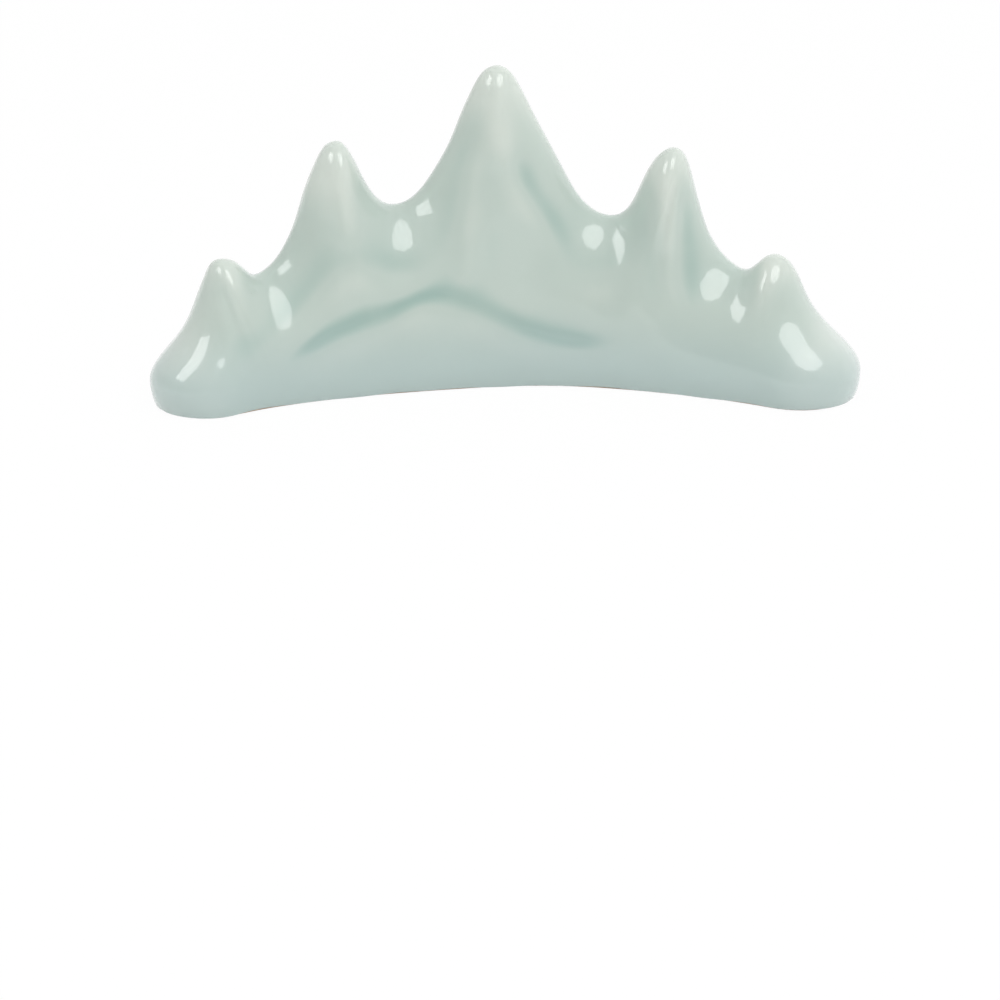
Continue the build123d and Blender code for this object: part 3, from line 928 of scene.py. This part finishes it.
# %% [markdown]
# ## The air of the studio
# A white room lights the rest from all round. One even strength would do, but the glaze then looks flat.
# Here the walls on the left and behind the camera are dimmer than those on the right and behind the
# rest, as beside a real window, so each peak has a lighter and a darker flank. For the camera itself
# the air is plain white.

# %% White studio
studio = bpy.data.worlds.new("white_studio")
bpy.context.scene.world = studio
studio.use_nodes = True
air = studio.node_tree.nodes["Background"]
air.inputs["Color"].default_value = (1, 1, 1, 1)
seen = node(studio.node_tree, "ShaderNodeLightPath")
facing_air = node(studio.node_tree, "ShaderNodeTexCoord")
sideways = node(studio.node_tree, "ShaderNodeVectorMath", operation="DOT_PRODUCT")
sideways.inputs[1].default_value = (0.75, 0.66, 0)
walls = node(studio.node_tree, "ShaderNodeMapRange")
walls.inputs["From Min"].default_value = -1.0
walls.inputs["To Min"].default_value = 0.36      # the walls on the left and behind the camera
walls.inputs["To Max"].default_value = 1.14      # and on the right and behind the rest
strength = node(studio.node_tree, "ShaderNodeMix", data_type="FLOAT")
strength.inputs["B"].default_value = 1.0
studio.node_tree.links.new(facing_air.outputs["Generated"], sideways.inputs[0])
studio.node_tree.links.new(sideways.outputs["Value"], walls.inputs["Value"])
studio.node_tree.links.new(seen.outputs["Is Camera Ray"], strength.inputs["Factor"])
studio.node_tree.links.new(walls.outputs[0], strength.inputs["A"])
studio.node_tree.links.new(strength.outputs[0], air.inputs["Strength"])
print("nodes in the air:", len(studio.node_tree.nodes))

# %% [markdown]
# ## Lights
# Two lamps show in the glaze: a large eight-sided softbox and a smaller square window, both high and
# in front. Their mirror images in the four dips tell where they stand. Both could be lamps of
# Blender's own, but those are round or have four corners, so the softbox is a mesh with eight.

# %% Where the lamps stand
softbox_at = Vector((0.28, -0.55, 0.81))
softbox_radius = 0.35
window_at = Vector((-0.66, -0.35, 0.69))
window_side = 0.40
lamp_glow = 3.8               # how bright both look, against the white of the air
aim = Vector((0, 0, 0.4 * peak_height))


def facing(at, target):
    """A turn and a place that look from one spot to another."""
    return Matrix.Translation(at) @ (target - at).to_track_quat("-Z", "Y").to_matrix().to_4x4()


print("softbox and window, m away:", [round((at - aim).length, 2) for at in (softbox_at, window_at)])

# %% Softbox
corner_count = 8
box_mesh = bpy.data.meshes.new("softbox")
turns = [2 * math.pi * (k + 0.5) / corner_count for k in range(corner_count)]
corners = [(softbox_radius * math.cos(turn), softbox_radius * math.sin(turn), 0) for turn in turns]
box_mesh.from_pydata(corners, [], [tuple(reversed(range(corner_count)))])
softbox = bpy.data.objects.new("softbox", box_mesh)
bpy.context.collection.objects.link(softbox)
softbox.matrix_world = facing(softbox_at, aim)
glow, tree, shader = fresh_material("softbox_cloth")
light = node(tree, "ShaderNodeEmission")
light.inputs["Strength"].default_value = lamp_glow
tree.links.new(light.outputs[0], tree.nodes["Material Output"].inputs[0])
box_mesh.materials.append(glow)
print("softbox, mm across:", round(2 * softbox_radius / mm))

# %% Window
lamp = bpy.data.lights.new("window", "AREA")
lamp.shape = "SQUARE"
lamp.size = window_side
lamp.energy = lamp_glow * math.pi * window_side**2   # the same glow as the softbox's cloth
window = bpy.data.objects.new("window", lamp)
bpy.context.collection.objects.link(window)
window.matrix_world = facing(window_at, aim)
print("window, watts:", round(lamp.energy, 2))

# %% [markdown]
# ## Camera
# The picture was taken from about 0.7 m away, 19 degrees above the table and 2 degrees to the left,
# through a long lens. The rest sits high in the frame. Shifting the lens would put it there, but a real
# camera is simply pointed lower, so this one is tilted and swung a little.

# %% Camera
frame_side = 1000             # picture points
scale = 5930.0                # picture points per metre at the rest
distance = 0.700
sensor = 36.0
elevation, azimuth = math.radians(19.24), math.radians(-2.2)
aim_picture = (504.2, 247.6)  # where the aimed point is in the picture
aim_point = Vector((0, 0.0004, 0.024))
away = Vector((math.sin(azimuth) * math.cos(elevation), -math.cos(azimuth) * math.cos(elevation),
               math.sin(elevation)))
lens = bpy.data.cameras.new("camera")
camera = bpy.data.objects.new("camera", lens)
bpy.context.collection.objects.link(camera)
lens.sensor_width = sensor
lens.lens = sensor * scale * distance / frame_side
tilt = math.atan((frame_side / 2 - aim_picture[1]) / (scale * distance))
swing = math.atan((frame_side / 2 - aim_picture[0]) / (scale * distance))
look = facing(aim_point + away * distance, aim_point)
camera.matrix_world = look @ Matrix.Rotation(-tilt, 4, "X") @ Matrix.Rotation(-swing, 4, "Y")
bpy.context.scene.camera = camera
bpy.context.scene.view_settings.view_transform = "Standard"
print("lens, mm:", round(lens.lens, 1), "tilt, degrees:", round(math.degrees(tilt), 2))
